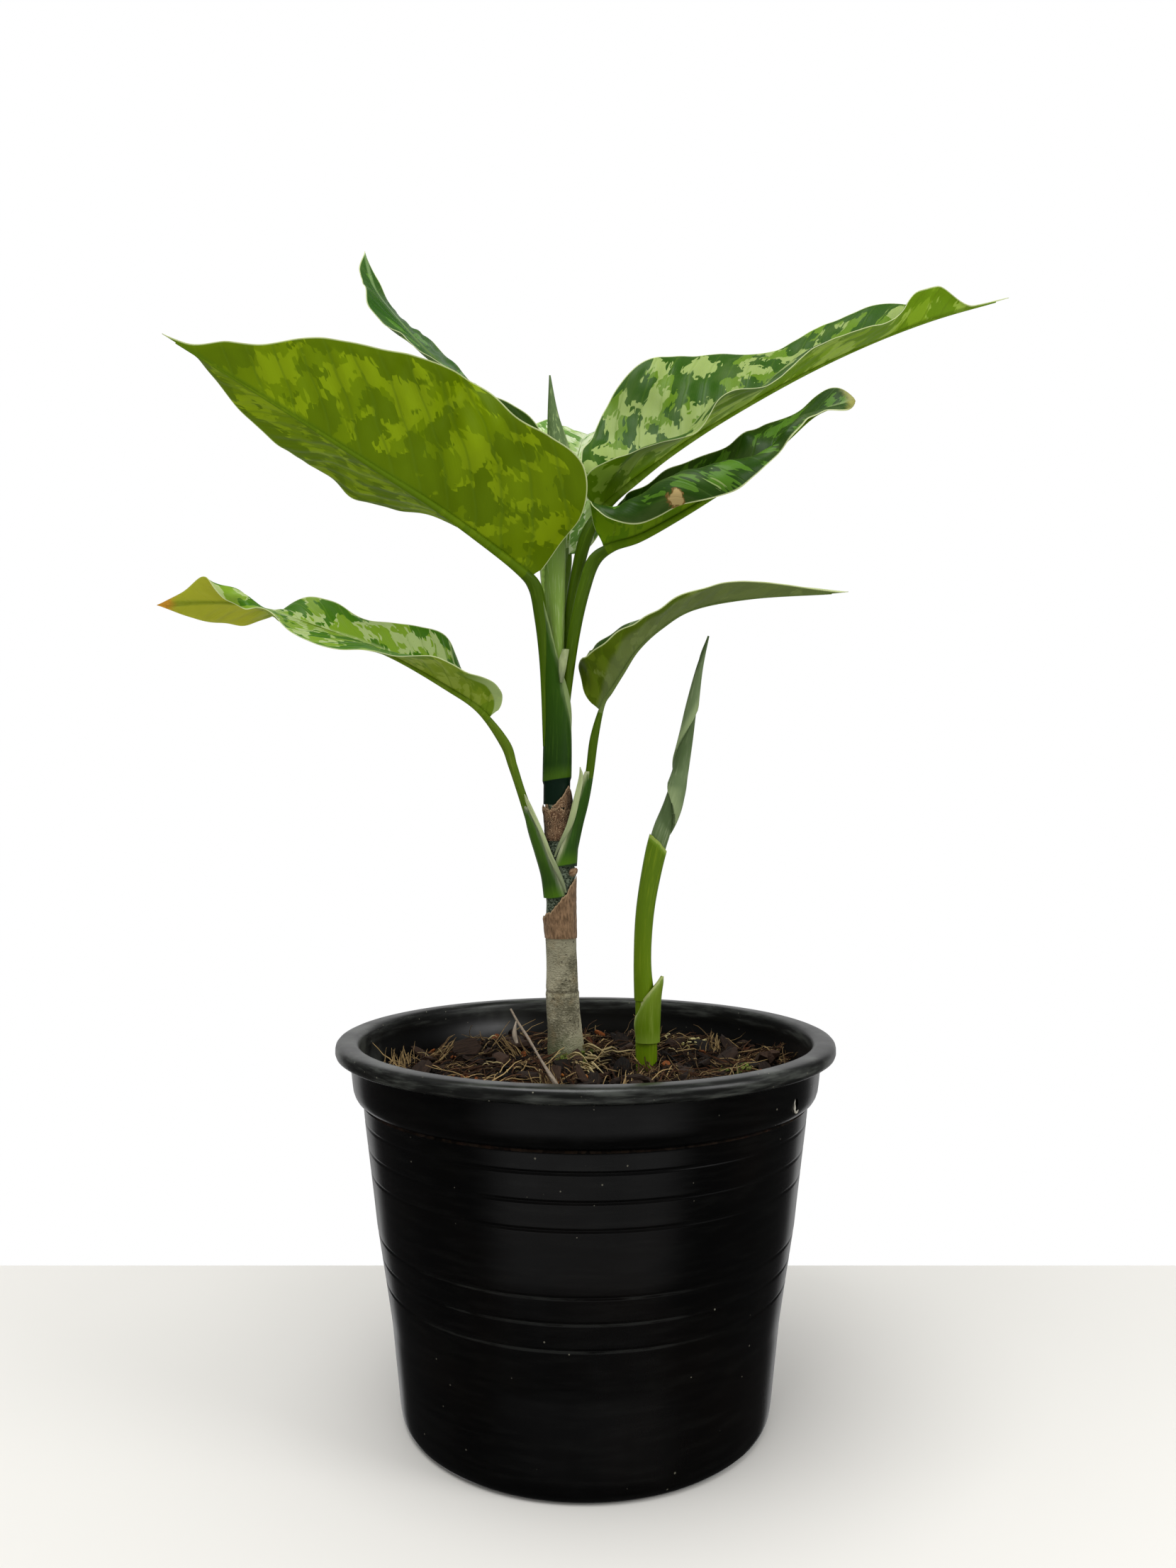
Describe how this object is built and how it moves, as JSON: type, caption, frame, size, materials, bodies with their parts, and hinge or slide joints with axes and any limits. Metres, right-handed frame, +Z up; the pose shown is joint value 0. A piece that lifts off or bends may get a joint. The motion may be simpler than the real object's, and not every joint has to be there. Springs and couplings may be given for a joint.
{
  "type": "potted chinese evergreen",
  "caption": "Young variegated foliage plant on a bare ringed cane, with arching wavy leaves and an offset shoot, in a tapered round black nursery pot filled with soil.",
  "frame": {"origin": "middle of the pot's flat base, on the surface it stands on", "axes": "+Z up along the pot's axis; -Y is the front; +X is to the right of someone who looks at the front"},
  "size_m": [0.3028, 0.1837, 0.4319],
  "materials": {
    "pot": "black thin-walled moulded plastic, satin, with dust and fine scuffs",
    "soil": "damp dark potting mix of bark chips and coir fibre",
    "bark": "smooth grey-beige cane with leaf scars, green near its top",
    "dry_sheath": "dry papery leaf base, tan to brown, torn edge",
    "leaf": "waxy leaf, dark and light green with pale patches, semi-gloss",
    "young_leaf": "rolled young leaf, pale grey-green, satin",
    "straw": "dry straw stalk"
  },
  "bodies": {
    "root": {"pot": "pot", "soil": "soil", "cane": "bark", "dry_sheath_lower": "dry_sheath", "dry_sheath_upper": "dry_sheath", "leaf_front_left": "leaf", "leaf_back_left": "leaf", "leaf_right_upper": "leaf", "leaf_right_curled": "leaf", "leaf_right_low": "leaf", "leaf_left_low": "leaf", "leaf_back": "leaf", "leaf_new_rolled": "young_leaf", "offset_shoot": "young_leaf", "offset_sheath": "young_leaf", "straw": "straw"}
  },
  "joints": []
}
